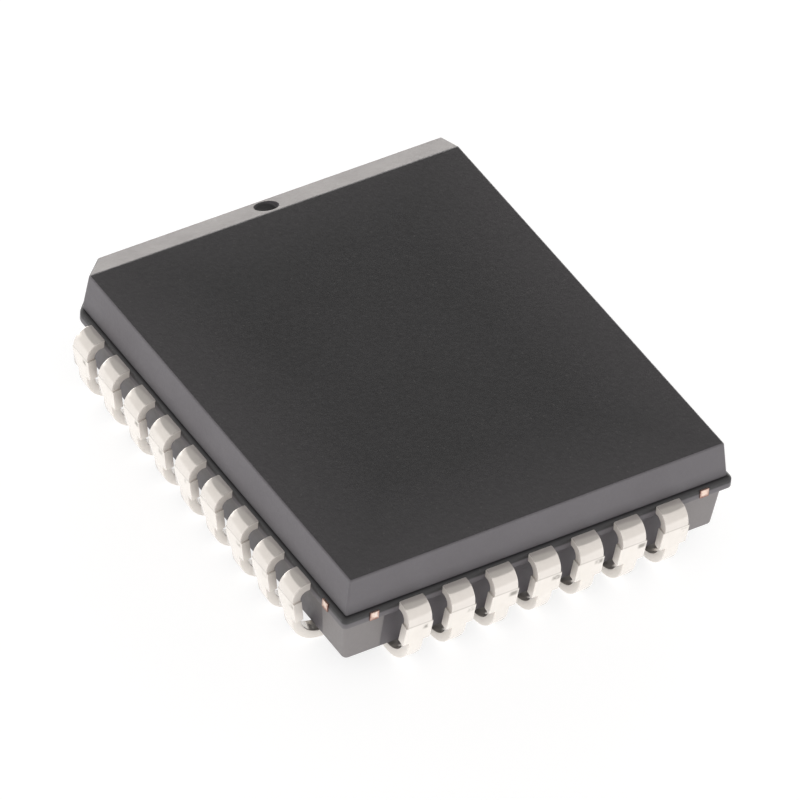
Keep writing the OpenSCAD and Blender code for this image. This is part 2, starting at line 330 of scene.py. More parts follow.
def add_node(tree, kind, **settings):
    node = tree.nodes.new(kind)
    for key, value in settings.items():
        setattr(node, key, value)
    return node


def math_node(tree, operation, *operands):
    """Adds a Math node; each operand is a socket to link or a number to set."""
    node = add_node(tree, "ShaderNodeMath", operation=operation)
    for socket, value in zip(node.inputs, operands):
        if isinstance(value, (int, float)):
            socket.default_value = value
        else:
            tree.links.new(value, socket)
    return node.outputs[0]


def spread(tree, value, low, high, to_low=0.0, to_high=1.0):
    """Maps a value from one range to another, clamped."""
    node = add_node(tree, "ShaderNodeMapRange", clamp=True)
    tree.links.new(value, node.inputs["Value"])
    node.inputs["From Min"].default_value = low
    node.inputs["From Max"].default_value = high
    node.inputs["To Min"].default_value = to_low
    node.inputs["To Max"].default_value = to_high
    return node.outputs["Result"]


def mix_colours(tree, factor, first, second):
    """Goes from the first colour to the second; each is a socket to link or a colour to set."""
    node = add_node(tree, "ShaderNodeMix", data_type="RGBA")
    tree.links.new(factor, node.inputs["Factor"])
    for label, value in (("A", first), ("B", second)):
        socket = [i for i in node.inputs if i.name == label and i.type == "RGBA"][0]
        if isinstance(value, tuple):
            socket.default_value = (*value, 1)
        else:
            tree.links.new(value, socket)
    return [o for o in node.outputs if o.type == "RGBA"][0]


def split_axes(tree, vector):
    """The X, Y and Z of a vector, as outputs with these names."""
    node = add_node(tree, "ShaderNodeSeparateXYZ")
    tree.links.new(vector, node.inputs["Vector"])
    return node.outputs


def split_normal(tree):
    return split_axes(tree, tree.nodes.new("ShaderNodeTexCoord").outputs["Normal"])


# Node groups that the materials share

def start_group(name, extra_inputs, output):
    """Group that takes a place, a scale and extra numbers, and puts out one value."""
    group = bpy.data.node_groups.new(name, "ShaderNodeTree")
    group.interface.new_socket("Vector", in_out="INPUT", socket_type="NodeSocketVector")
    for label in ("Scale", *extra_inputs):
        group.interface.new_socket(label, in_out="INPUT", socket_type="NodeSocketFloat")
    group.interface.new_socket(output, in_out="OUTPUT", socket_type="NodeSocketFloat")
    way_in = group.nodes.new("NodeGroupInput")
    way_out = group.nodes.new("NodeGroupOutput")
    return group, way_in.outputs, way_out.inputs[output]


def add_noise(group, place, scale, detail, roughness):
    noise = add_node(group, "ShaderNodeTexNoise")
    noise.inputs["Detail"].default_value = detail
    noise.inputs["Roughness"].default_value = roughness
    group.links.new(place, noise.inputs["Vector"])
    group.links.new(scale, noise.inputs["Scale"])
    return noise.outputs["Fac"]


def make_patches():
    """Slow changes of tone over a surface, from 0 to 1."""
    group, given, result = start_group("patchy_tone", (), "Tone")
    noise = add_noise(group, given["Vector"], given["Scale"], detail=3.0, roughness=0.55)
    group.links.new(spread(group, noise, 0.32, 0.68), result)
    return group


def make_grain():
    """Fine even roughness of a surface, as a height from 0 to 1."""
    group, given, result = start_group("fine_grain", (), "Height")
    noise = add_noise(group, given["Vector"], given["Scale"], detail=4.0, roughness=0.6)
    group.links.new(noise, result)
    return group


def make_specks():
    """Scattered tiny specks, as a mask from 0 to 1; Share is the part of the cells that hold one."""
    group, given, result = start_group("specks", ("Share",), "Mask")
    cells = add_node(group, "ShaderNodeTexVoronoi", feature="F1")
    group.links.new(given["Vector"], cells.inputs["Vector"])
    group.links.new(given["Scale"], cells.inputs["Scale"])
    dot = spread(group, cells.outputs["Distance"], 0.12, 0.3, 1.0, 0.0)
    lot = add_node(group, "ShaderNodeSeparateColor")
    group.links.new(cells.outputs["Color"], lot.inputs["Color"])
    chosen = math_node(group, "LESS_THAN", lot.outputs["Red"], given["Share"])
    group.links.new(math_node(group, "MULTIPLY", dot, chosen), result)
    return group


def make_streaks():
    """Fine marks drawn out along z, as on metal that has slid through a bending tool."""
    group, given, result = start_group("drawn_streaks", ("Stretch",), "Mask")
    factors = add_node(group, "ShaderNodeCombineXYZ")
    factors.inputs["X"].default_value = 1.0
    factors.inputs["Y"].default_value = 1.0
    group.links.new(given["Stretch"], factors.inputs["Z"])
    drawn = add_node(group, "ShaderNodeVectorMath", operation="MULTIPLY")
    group.links.new(given["Vector"], drawn.inputs[0])
    group.links.new(factors.outputs["Vector"], drawn.inputs[1])
    noise = add_noise(group, drawn.outputs["Vector"], given["Scale"], detail=3.0, roughness=0.6)
    group.links.new(spread(group, noise, 0.35, 0.65), result)
    return group


patches = make_patches()
grain = make_grain()
specks = make_specks()
streaks = make_streaks()


# Materials

def start_material(name):
    """New material with a Principled surface, and the place on the piece that its patterns read."""
    material = bpy.data.materials.new(name)
    material.use_nodes = True
    tree = material.node_tree
    tree.nodes.clear()
    result = tree.nodes.new("ShaderNodeOutputMaterial")
    surface = tree.nodes.new("ShaderNodeBsdfPrincipled")
    tree.links.new(surface.outputs["BSDF"], result.inputs["Surface"])
    place = tree.nodes.new("ShaderNodeTexCoord").outputs["Object"]
    return material, tree, surface, place


def use_group(tree, group, place, **values):
    node = add_node(tree, "ShaderNodeGroup", node_tree=group)
    tree.links.new(place, node.inputs["Vector"])
    for key, value in values.items():
        node.inputs[key].default_value = value
    return node.outputs[0]


def raise_bumps(tree, surface, height, depth):
    bump = add_node(tree, "ShaderNodeBump")
    bump.inputs["Distance"].default_value = depth
    tree.links.new(height, bump.inputs["Height"])
    tree.links.new(bump.outputs["Normal"], surface.inputs["Normal"])


def level_faces(tree):
    """1 on faces that look straight up or down, and 0 on all that lean."""
    return spread(tree, math_node(tree, "ABSOLUTE", split_normal(tree)["Z"]), 0.95, 0.99)


def index_bevel(tree):
    """1 on the bevel, which faces up and leans towards the back, and 0 on the walls."""
    normal = split_normal(tree)
    upward = spread(tree, normal["Z"], 0.7, 0.88)
    backward = spread(tree, normal["Y"], 0.2, 0.35)
    return math_node(tree, "MULTIPLY", upward, backward)


def painted_light_near_edge(tree, axes):
    """Painted light: 1 along the outline of the top, which is painted paler than its middle, fading to
    0 a little way in from it, and 0 on the ledge.
    """
    aside = math_node(tree, "SUBTRACT", BODY_W / 2, math_node(tree, "ABSOLUTE", axes["X"]))
    ahead = math_node(tree, "SUBTRACT", BODY_L / 2, math_node(tree, "ABSOLUTE", axes["Y"]))
    inward = math_node(tree, "MINIMUM", aside, ahead)
    edge = spread(tree, inward, TOP_EDGE_NEAR, TOP_EDGE_FAR, 1.0, 0.0)
    return math_node(tree, "MULTIPLY", edge, spread(tree, axes["Z"], MID_Z, TOP_Z))


def beyond(tree, value, limit, soft):
    """1 where a coordinate lies further from the middle than the limit, and 0 nearer."""
    return spread(tree, math_node(tree, "ABSOLUTE", value), limit - soft, limit + soft)


def below_ledge(tree, axes):
    """Two masks for painted light below the ledge: the corner blocks between the rows, and the walls of
    the long rows, both painted paler than the other walls.
    """
    end_x = (SHORT_LEADS - 1) / 2 * PITCH + SETBACK_END
    end_y = (LONG_LEADS - 1) / 2 * PITCH + SETBACK_END
    aside = beyond(tree, axes["X"], end_x, BLOCK_SOFT)
    ahead = beyond(tree, axes["Y"], end_y, BLOCK_SOFT)
    under = spread(tree, axes["Z"], LEDGE_LOW - 2 * BLOCK_SOFT, LEDGE_LOW + 2 * BLOCK_SOFT, 1.0, 0.0)
    outer = math_node(tree, "MULTIPLY", aside, under)
    corner = math_node(tree, "MULTIPLY", outer, ahead)
    upper = spread(tree, axes["Z"], BEHIND_LONG_LOW, LEDGE_LOW)
    behind_long_lit = math_node(tree, "MULTIPLY", math_node(tree, "SUBTRACT", outer, corner), upper)
    return corner, behind_long_lit


def painted_ledge_shade(tree, height):
    """Painted shade: a dark band on the ledge, where it lies in shade under the walls and between the
    leads, that fades out up the foot of the walls above it.
    """
    start = spread(tree, height, LEDGE_SHADE_START, LEDGE_SHADE_FULL)
    on_ledge = spread(tree, height, LEDGE_TOP, LEDGE_SHADE_END, LEDGE_SHADE_SHARE, 0.0)
    on_wall = spread(tree, height, LEDGE_TOP, WALL_FOOT_SHADE_END, WALL_FOOT_SHADE_SHARE, 0.0)
    return math_node(tree, "MULTIPLY", start, math_node(tree, "MAXIMUM", on_ledge, on_wall))


def in_dimple(tree, axes):
    """Painted shade: strong inside the index dimple, as seen from above, and 0 outside it; the hollow
    takes the dark tone of the level faces.
    """
    aside = math_node(tree, "POWER", axes["X"], 2.0)
    ahead = math_node(tree, "POWER", math_node(tree, "SUBTRACT", axes["Y"], DIMPLE_Y), 2.0)
    off_middle = math_node(tree, "SQRT", math_node(tree, "ADD", aside, ahead))
    return spread(tree, off_middle, 0.93 * DIMPLE_R, DIMPLE_R, DIMPLE_SHADE_SHARE, 0.0)


def make_compound():
    """Black moulding compound, greyer on the walls, with painted light and shade: the level faces, the
    ledge and the index dimple are painted dark, and the bevel, the corner blocks below the ledge, the
    walls behind the long rows and the outline of the top are painted paler; the level faces are also
    smoother.
    """
    material, tree, surface, place = start_material("mould_compound")
    surface.inputs["Specular IOR Level"].default_value = COMPOUND_SPECULAR
    axes = split_axes(tree, place)
    tone = use_group(tree, patches, place, Scale=320)
    mottle = use_group(tree, patches, place, Scale=1100)
    fine = use_group(tree, grain, place, Scale=9000)
    dots = use_group(tree, specks, place, Scale=9000, Share=0.06)
    corner, behind_long_lit = below_ledge(tree, axes)
    wall = mix_colours(tree, tone, *WALL_TONES)
    # Painted light: walls behind the long rows painted paler towards the ledge
    wall = mix_colours(tree, behind_long_lit, wall, BEHIND_LONG_LIT_TONE)
    # Painted light: corner blocks below the ledge painted paler
    wall = mix_colours(tree, corner, wall, mix_colours(tree, tone, *LIT_BLOCK_TONES))
    # Bevel: its own mottle, plus painted light that makes it paler than the walls
    wall = mix_colours(tree, index_bevel(tree), wall, mix_colours(tree, mottle, *BEVEL_MOTTLE_AND_LIGHT_TONES))
    # Painted shade: faces that look straight up or down get a far darker tone than the walls
    level = mix_colours(tree, tone, *SHADED_LEVEL_TONES)
    # Painted light: the top paler towards its outline
    level = mix_colours(tree, painted_light_near_edge(tree, axes), level, TOP_EDGE_LIT_TONE)
    facing = level_faces(tree)
    # Painted shade: the ledge and the foot of the walls above it take the dark tone
    dark = math_node(tree, "MAXIMUM", facing, painted_ledge_shade(tree, axes["Z"]))
    dark = math_node(tree, "MAXIMUM", dark, in_dimple(tree, axes))
    base = mix_colours(tree, dark, wall, level)
    fleck = math_node(tree, "MULTIPLY", dots, FLECK_SHARE)
    tree.links.new(mix_colours(tree, fleck, base, FLECK_TONE), surface.inputs["Base Color"])
    rough = spread(tree, fine, *GRAIN_RANGE, *COMPOUND_ROUGHNESS)
    smoother = math_node(tree, "MULTIPLY", facing, LEVEL_SMOOTHER)
    tree.links.new(math_node(tree, "SUBTRACT", rough, smoother), surface.inputs["Roughness"])
    raise_bumps(tree, surface, fine, GRAIN_DEPTH)
    return material


def pick_row(tree, axes, short, long):
    """The first value on the leads of the short rows, the second on those of the long rows."""
    ahead = math_node(tree, "ABSOLUTE", axes["Y"])
    short_row = math_node(tree, "GREATER_THAN", ahead, SHORT_ROW_Y)
    long_row = math_node(tree, "SUBTRACT", 1.0, short_row)
    in_short = math_node(tree, "MULTIPLY", short, short_row)
    return math_node(tree, "ADD", in_short, math_node(tree, "MULTIPLY", long, long_row))


def sheared_side(tree, axes):
    """1 on the sides of a lead, which face along its row, and 0 on its inner and outer faces."""
    normal = split_normal(tree)
    along_x = math_node(tree, "ABSOLUTE", normal["X"])
    along_y = math_node(tree, "ABSOLUTE", normal["Y"])
    return spread(tree, pick_row(tree, axes, along_x, along_y), 0.6, 0.8)


def off_lead_middle(tree, axes):
    """Distance from the middle of a lead, to the right of it as seen from outside the row."""
    sides = []
    for along, outward, turn in (("X", "Y", -1.0), ("Y", "X", 1.0)):
        local = math_node(tree, "WRAP", axes[along], PITCH / 2, -PITCH / 2)
        facing = math_node(tree, "MULTIPLY", math_node(tree, "SIGN", axes[outward]), turn)
        sides.append(math_node(tree, "MULTIPLY", local, facing))
    return pick_row(tree, axes, sides[0], sides[1])


def tool_marks(tree, axes, place):
    """Strokes of the forming tool near one side of a lead, and the crease where it gets wider."""
    above = spread(tree, axes["Z"], MARK_LOW, MARK_LOW + MARK_SOFT)
    below = spread(tree, axes["Z"], MARK_HIGH - MARK_SOFT, MARK_HIGH, 1.0, 0.0)
    band = math_node(tree, "MULTIPLY", above, below)
    off_mark = math_node(tree, "SUBTRACT", off_lead_middle(tree, axes), MARK_X)
    beside = spread(tree, math_node(tree, "ABSOLUTE", off_mark), MARK_NEAR, MARK_FAR, 1.0, 0.0)
    uneven = spread(tree, use_group(tree, patches, place, Scale=2600), 0.25, 0.6)
    stroke = math_node(tree, "MULTIPLY", band, math_node(tree, "MULTIPLY", uneven, beside))
    off_crease = math_node(tree, "ABSOLUTE", math_node(tree, "SUBTRACT", axes["Z"], DAM_TOP))
    crease = spread(tree, off_crease, 0.0, CREASE_W, CREASE_SHARE, 0.0)
    return math_node(tree, "MAXIMUM", stroke, crease)


def make_tin():
    """Tin plate: pale, shiny and a little streaky, with tool marks, and painted light and shade: the
    leg is painted paler than the bend above it, and the sheared sides are painted darker towards the
    ledge; the sheared sides are also rougher and less metallic.
    """
    material, tree, surface, place = start_material("tin_plate")
    axes = split_axes(tree, place)
    tone = use_group(tree, patches, place, Scale=1400)
    drawn = use_group(tree, streaks, place, Scale=9000, Stretch=0.12)
    sheared = sheared_side(tree, axes)
    faces = math_node(tree, "SUBTRACT", 1.0, sheared)
    pressed = math_node(tree, "MULTIPLY", tool_marks(tree, axes, place), faces)
    # Painted light and shade: paler leg below, darker bend and root above
    at_bend = spread(tree, axes["Z"], DAM_TOP - BEND_TONE_SOFT, DAM_TOP + BEND_TONE_SOFT)
    leg = mix_colours(tree, tone, *LIT_LEG_TONES)
    bend = mix_colours(tree, tone, *SHADED_BEND_TONES)
    base = mix_colours(tree, at_bend, leg, bend)
    worn = math_node(tree, "MULTIPLY", drawn, WORN_SHARE)
    base = mix_colours(tree, worn, base, WORN_TONE)
    # Painted shade on the sheared sides, growing from the foot up towards the ledge
    side_shade_rise = spread(tree, axes["Z"], SIDE_SHADE_LOW, SIDE_SHADE_HIGH, *SIDE_SHADE_SHARES)
    side_shade = math_node(tree, "MULTIPLY", sheared, side_shade_rise)
    base = mix_colours(tree, side_shade, base, SHEARED_SHADE_TONE)
    shade = math_node(tree, "MULTIPLY", pressed, MARK_SHARE)
    tree.links.new(mix_colours(tree, shade, base, MARK_TONE), surface.inputs["Base Color"])
    metallic = spread(tree, sheared, 0.0, 1.0, TIN_METALLIC, SHEARED_METALLIC)
    tree.links.new(metallic, surface.inputs["Metallic"])
    rough = spread(tree, drawn, 0.0, 1.0, *TIN_ROUGHNESS)
    rougher = math_node(tree, "MULTIPLY", sheared, SHEARED_ROUGHER)
    tree.links.new(math_node(tree, "ADD", rough, rougher), surface.inputs["Roughness"])
    raise_bumps(tree, surface, math_node(tree, "SUBTRACT", 1.0, pressed), GRAIN_DEPTH)
    return material


def from_line(tree, value, line):
    """Distance of a coordinate from a line at either side of the middle."""
    off_middle = math_node(tree, "ABSOLUTE", value)
    return math_node(tree, "ABSOLUTE", math_node(tree, "SUBTRACT", off_middle, line))


def make_copper():
    """Bare copper alloy: a bright sheared face with brown rims, which are torn metal and also painted
    shade on the rounded rims of the cut end.
    """
    material, tree, surface, place = start_material("copper_alloy")
    surface.inputs["Metallic"].default_value = 1.0
    axes = split_axes(tree, place)
    tone = use_group(tree, patches, place, Scale=5200)
    ragged = use_group(tree, patches, place, Scale=12000)
    drawn = use_group(tree, streaks, place, Scale=16000, Stretch=0.2)
    bright = mix_colours(tree, tone, *COPPER_TONES)
    across_x = from_line(tree, axes["X"], TIE_X)
    across_y = from_line(tree, axes["Y"], TIE_Y)
    nearest = math_node(tree, "MINIMUM", across_x, across_y)
    across = math_node(tree, "DIVIDE", nearest, TIE_W / 2)
    off_middle = math_node(tree, "SUBTRACT", axes["Z"], MID_Z + BRIGHT_RAISE)
    upright = math_node(tree, "DIVIDE", math_node(tree, "ABSOLUTE", off_middle), METAL / 2)
    rim = math_node(tree, "MAXIMUM", across, upright)
    uneven_rim = math_node(tree, "ADD", rim, math_node(tree, "MULTIPLY", ragged, RAGGED_SHARE))
    # Rims: torn metal, and painted shade where the cut end rounds off
    torn = spread(tree, uneven_rim, *TORN_RANGE)
    tree.links.new(mix_colours(tree, torn, bright, TORN_AND_SHADED_TONE), surface.inputs["Base Color"])
    tree.links.new(spread(tree, drawn, 0.0, 1.0, *COPPER_ROUGHNESS), surface.inputs["Roughness"])
    raise_bumps(tree, surface, drawn, GRAIN_DEPTH)
    return material


def make_inner(name, tones, metallic, roughness, patch_scale):
    """A finish for a piece inside the body, with its own tones and range of roughness."""
    material, tree, surface, place = start_material(name)
    surface.inputs["Metallic"].default_value = metallic
    tone = use_group(tree, patches, place, Scale=patch_scale)
    fine = use_group(tree, grain, place, Scale=patch_scale * 8)
    tree.links.new(mix_colours(tree, tone, *tones), surface.inputs["Base Color"])
    tree.links.new(spread(tree, fine, *GRAIN_RANGE, *roughness), surface.inputs["Roughness"])
    raise_bumps(tree, surface, fine, INNER_GRAIN_DEPTH)
    return material


compound = make_compound()
tin = make_tin()
copper = make_copper()
adhesive = make_inner(
    "adhesive", tones=((0.46, 0.46, 0.45), (0.62, 0.62, 0.60)),
    metallic=0.0, roughness=(0.45, 0.65), patch_scale=3000,
)
silicon = make_inner(
    "silicon", tones=((0.20, 0.21, 0.25), (0.25, 0.26, 0.31)),
    metallic=0.0, roughness=(0.08, 0.16), patch_scale=1200,
)
gold = make_inner(
    "gold", tones=((0.90, 0.68, 0.26), (0.98, 0.80, 0.38)),
    metallic=1.0, roughness=(0.15, 0.3), patch_scale=6000,
)


# Moulded body

def cut_corner(inside, height, lean):
    """Slices the back left corner off the open mesh, so far inside the ledge's cut at this height."""
    side = 0.5 ** 0.5
    out = (CUT_OUT - inside) * side
    slice_off((-out, out, height), (-side, side, lean))


def draw_in(block, upward, half_x, half_y, drawn_in, height):
    """Makes the top or the bottom of an open block smaller, for the draft of its walls."""
    pick(block, "FACE", lambda face: upward * face.normal.z > 0.9)
    shrink = (1 - drawn_in / half_x, 1 - drawn_in / half_y, 1)
    bpy.ops.transform.resize(value=shrink, center_override=(0, 0, height))


def model_upper():
    """Walls above the ledge, drawn in towards the top, with the index bevel along the back."""
    low = MID_Z
    spare = (LEDGE_TOP - low) * UPPER_DRAFT
    half_x = BODY_W / 2 - LEDGE_OVER + spare
    half_y = BODY_L / 2 - LEDGE_OVER + spare
    block = add_block("upper_half", half_x, half_y, low, TOP_Z)
    open_mesh(block)
    draw_in(block, 1, half_x, half_y, (TOP_Z - low) * UPPER_DRAFT, TOP_Z)
    cut_corner(CORNER_OVER, LEDGE_TOP, UPPER_DRAFT)
    bevel_y = half_y - (BEVEL_LOW - low) * UPPER_DRAFT
    slice_off((0, bevel_y, BEVEL_LOW), (0, BEVEL_DROP, BEVEL_W))
    round_edges(block, UPPER_ROUND, 3, lambda edge: not lies_at(edge, low))
    close_mesh()
    return block


def model_ledge():
    """Thin ledge all round at the parting line."""
    block = add_block("ledge", BODY_W / 2, BODY_L / 2, LEDGE_LOW, LEDGE_TOP)
    open_mesh(block)
    cut_corner(0, LEDGE_TOP, 0)
    round_edges(block, UPRIGHT_ROUND, 4, is_upright)
    round_edges(block, LEDGE_TOP_ROUND, 4, lambda edge: lies_at(edge, LEDGE_TOP))
    round_edges(block, LEDGE_LOW_ROUND, 2, lambda edge: lies_at(edge, LEDGE_LOW))
    close_mesh()
    return block


def model_lower():
    """Walls below the ledge, drawn in towards the underside."""
    high = MID_Z
    spare = (high - LEDGE_LOW) * LOWER_DRAFT
    half_x = BODY_W / 2 - LEDGE_UNDER + spare
    half_y = BODY_L / 2 - LEDGE_UNDER + spare
    block = add_block("lower_half", half_x, half_y, BOTTOM_Z, high)
    open_mesh(block)
    draw_in(block, -1, half_x, half_y, (high - BOTTOM_Z) * LOWER_DRAFT, BOTTOM_Z)
    cut_corner(LEDGE_UNDER, LEDGE_LOW, -LOWER_DRAFT)
    round_edges(block, UPRIGHT_ROUND, 4, is_upright)
    round_edges(block, BOTTOM_ROUND, 3, lambda edge: lies_at(edge, BOTTOM_Z))
    close_mesh()
    return block


def turn_to_row(piece, row):
    """Turns a shape drawn for the back row into its own row, anticlockwise seen from above."""
    take(piece)
    piece.rotation_euler = (0, 0, radians(90 * row))
    bpy.ops.object.transform_apply(location=True, rotation=True, scale=True)


def row_count(row):
    return SHORT_LEADS if row % 2 == 0 else LONG_LEADS


def ledge_half(row):
    return (BODY_L if row % 2 == 0 else BODY_W) / 2


def cut_row_space(body, row):
    """Cuts the setback behind a row of leads, and the pocket that their curled tips reach into."""
    half = (row_count(row) - 1) / 2 * PITCH + SETBACK_END
    edge_y = ledge_half(row)
    low = BOTTOM_Z - CUT_SPARE
    high = LEDGE_LOW + SETBACK_BITE
    wall_y = edge_y + (CUT_SPARE - SETBACK) / 2
    wall = add_block("setback", half, (SETBACK + CUT_SPARE) / 2, low, high, (0, wall_y))
    open_mesh(wall)
    round_edges(wall, SETBACK_ROUND, 3, lambda edge: is_upright(edge) and middle(edge).y < edge_y)
    close_mesh()
    turn_to_row(wall, row)
    combine(body, wall, "DIFFERENCE")
    pocket_y = edge_y - (POCKET_IN + RIM_IN) / 2
    pocket = add_block("pocket", half, (POCKET_IN - RIM_IN) / 2, low, POCKET_Z, (0, pocket_y))
    open_mesh(pocket)
    round_edges(pocket, POCKET_ROUND, 3, lambda edge: not lies_at(edge, low))
    close_mesh()
    turn_to_row(pocket, row)
    combine(body, pocket, "DIFFERENCE")


def add_disc(name, radius, low, high, centre, rounding, rounded_z):
    """Round cutter with one rounded rim at the given height."""
    bpy.ops.object.select_all(action="DESELECT")
    bpy.ops.mesh.primitive_cylinder_add(
        vertices=DISC_SIDES, radius=radius, depth=high - low, location=(*centre, (low + high) / 2)
    )
    disc = bpy.context.object
    disc.name = name
    bpy.ops.object.transform_apply(location=True, rotation=True, scale=True)
    open_mesh(disc)
    round_edges(disc, rounding, 3, lambda edge: lies_at(edge, rounded_z))
    close_mesh()
    return disc


def cut_marks(body):
    """Cuts the index dimple into the bevel and the ejector mark into the underside."""
    floor_z = TOP_Z - BEVEL_DROP / 2 - DIMPLE_DEPTH
    dimple = add_disc(
        "dimple", DIMPLE_R, floor_z, TOP_Z + CUT_SPARE, (0, DIMPLE_Y), DIMPLE_ROUND, floor_z
    )
    combine(body, dimple, "DIFFERENCE")
    roof_z = BOTTOM_Z + EJECTOR_DEPTH
    mark = add_disc(
        "ejector_mark", EJECTOR_R, BOTTOM_Z - CUT_SPARE, roof_z, (0, 0), EJECTOR_ROUND, roof_z
    )
    combine(body, mark, "DIFFERENCE")


def model_body():
    """The body in one piece: ledge, upper and lower half, with all that is cut into them."""
    body = model_ledge()
    combine(body, model_upper(), "UNION")
    combine(body, model_lower(), "UNION")
    for row in range(4):
        cut_row_space(body, row)
    cut_marks(body)
    open_mesh(body)
    bpy.ops.mesh.select_all(action="SELECT")
    bpy.ops.mesh.remove_doubles(threshold=SAME_PLACE)
    bpy.ops.mesh.normals_make_consistent(inside=False)
    close_mesh()
    smooth(body)
    body.name = "moulded_package"
    body.data.materials.clear()
    body.data.materials.append(compound)
    return body


# Leads

def bend_on(centre, angle, steps):
    """Carries the selected end of the strip on round a bend, turning down and inward."""
    bpy.ops.mesh.spin(steps=steps, angle=angle, center=centre, axis=(1, 0, 0))


def draw_on(way):
    """Carries the selected end of the strip straight on."""
    bpy.ops.mesh.extrude_region_move(TRANSFORM_OT_translate={"value": way})


def step_width(factor):
    """Carries the selected end on at once with another width, leaving a step."""
    draw_on((0, 0, 0))
    bpy.ops.transform.resize(value=(factor, 1, 1), center_override=(0, 0, 0))


def round_lead(lead):
    """Rounds the outer edges of the open lead, but not its root, which is drawn on into a finger."""
    bpy.ops.mesh.select_mode(type="EDGE")
    bpy.ops.mesh.select_all(action="DESELECT")
    bpy.ops.mesh.edges_select_sharp(sharpness=SHARP_ABOVE)
    shape = bmesh.from_edit_mesh(lead.data)
    for edge in shape.edges:
        at_root = middle(edge).y < -0.9 * ROOT
        # An inner corner at a step in width is too small to be rounded without folding
        if edge.select and (at_root or not edge.is_convex):
            edge.select_set(False)
    bmesh.update_edit_mesh(lead.data)
    bevel_selected(LEAD_ROUND, 2)


def model_lead():
    """One J-formed lead: level root, bend, wider stretch of the leg, narrow foot and curl."""
    bpy.ops.object.select_all(action="DESELECT")
    bpy.ops.mesh.primitive_plane_add(size=1, location=(0, -ROOT, MID_Z), rotation=(radians(90), 0, 0))
    lead = bpy.context.object
    lead.name = "lead_pattern"
    lead.scale = (LEAD_W, METAL, 1)
    bpy.ops.object.transform_apply(location=True, rotation=True, scale=True)
    bend_centre = Vector((0, EXIT, FRAME_Z - BEND_R))
    leg_side = Vector((0, cos(LEAN), -sin(LEAN)))
    leg_way = Vector((0, -sin(LEAN), -cos(LEAN)))
    leg_start = bend_centre + (BEND_R - METAL / 2) * leg_side
    curl_mid_r = CURL_R - METAL / 2
    leg_length = (leg_start.z - CURL_R - curl_mid_r * leg_side.z) / cos(LEAN)
    curl_centre = leg_start + leg_length * leg_way - curl_mid_r * leg_side
    above = (leg_start.z - DAM_TOP) / cos(LEAN)
    wide = (DAM_TOP - DAM_LOW) / cos(LEAN)
    open_mesh(lead)
    bpy.ops.mesh.select_all(action="SELECT")
    draw_on((0, ROOT + EXIT, 0))
    bend_on(bend_centre, radians(90) + LEAN, BEND_STEPS)
    draw_on(above * leg_way)
    step_width(DAM_W / LEAD_W)
    draw_on(wide * leg_way)
    step_width(FOOT_W / DAM_W)
    draw_on((leg_length - above - wide) * leg_way)
    bend_on(curl_centre, CURL_TURN - LEAN, CURL_STEPS)
    bpy.ops.mesh.select_all(action="SELECT")
    bpy.ops.mesh.remove_doubles(threshold=SAME_PLACE)
    # A step in width leaves faces without area on the inner and outer side of the strip
    bpy.ops.mesh.dissolve_degenerate(threshold=SAME_PLACE)
    bpy.ops.mesh.normals_make_consistent(inside=False)
    round_lead(lead)
    close_mesh()
    smooth(lead)
    lead.data.materials.append(tin)
    return lead


def lead_place(pin):
    """The row of a lead and its place along that row, counted from the row's middle."""
    count = 2 * (SHORT_LEADS + LONG_LEADS)
    place = (pin - 1 + (SHORT_LEADS - 1) // 2) % count
    starts = [floor((row + 1) / 2) * SHORT_LEADS + floor(row / 2) * LONG_LEADS for row in range(4)]
    row = max(index for index in range(4) if place >= starts[index])
    return row, (row_count(row) - 1) / 2 - (place - starts[row])


def is_root_end(face):
    return face.calc_center_median().y < -0.99 * ROOT and face.normal.y < -0.9


def place_lead(pattern, pin):
    """Copies the lead, draws its root on into the finger towards the die pad and puts it in its row."""
    row, step = lead_place(pin)
    take(pattern)
    bpy.ops.object.duplicate()
    lead = bpy.context.object
    lead.name = f"tinned_lead_{pin:02d}"
    short_row = row % 2 == 0
    pad_side = PAD_W if short_row else PAD_L
    pad_half = (PAD_L if short_row else PAD_W) / 2
    tip_pitch = (pad_side - 2 * TIP_ROW_END) / (row_count(row) - 1)
    tip_x = step * (tip_pitch - PITCH)
    tip_y = pad_half + TIP_GAP - ledge_half(row)
    open_mesh(lead)
    pick(lead, "FACE", is_root_end)
    draw_on((tip_x, tip_y + ROOT, 0))
    bpy.ops.transform.resize(value=(TIP_W / LEAD_W, 1, 1), center_override=(tip_x, tip_y, MID_Z))
    close_mesh()
    lead.location = (step * PITCH, ledge_half(row), 0)
    bpy.ops.object.transform_apply(location=True, rotation=False, scale=False)
    turn_to_row(lead, row)
    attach(lead, "root")
    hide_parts(f"lead_{pin:02d}")


package = model_body()
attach(package, "root")
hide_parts("moulded_body")

pattern = model_lead()
for pin in range(1, 2 * (SHORT_LEADS + LONG_LEADS) + 1):
    place_lead(pattern, pin)
bpy.data.objects.remove(pattern, do_unlink=True)

# Pieces that stay as their solids
inner_finishes = {"die_pad": copper, "die_attach": adhesive, "die": silicon, "bond_wires": gold}
for name, finish in inner_finishes.items():
    nodes[name].data.materials.clear()
    nodes[name].data.materials.append(finish)


# Floor, light and camera

def seen_directly(tree):
    """1 for camera, glossy and transmitted rays, 0 for the rest."""
    path = tree.nodes.new("ShaderNodeLightPath")
    direct = math_node(tree, "MAXIMUM", path.outputs["Is Camera Ray"], path.outputs["Is Glossy Ray"])
    return math_node(tree, "MAXIMUM", direct, path.outputs["Is Transmission Ray"])


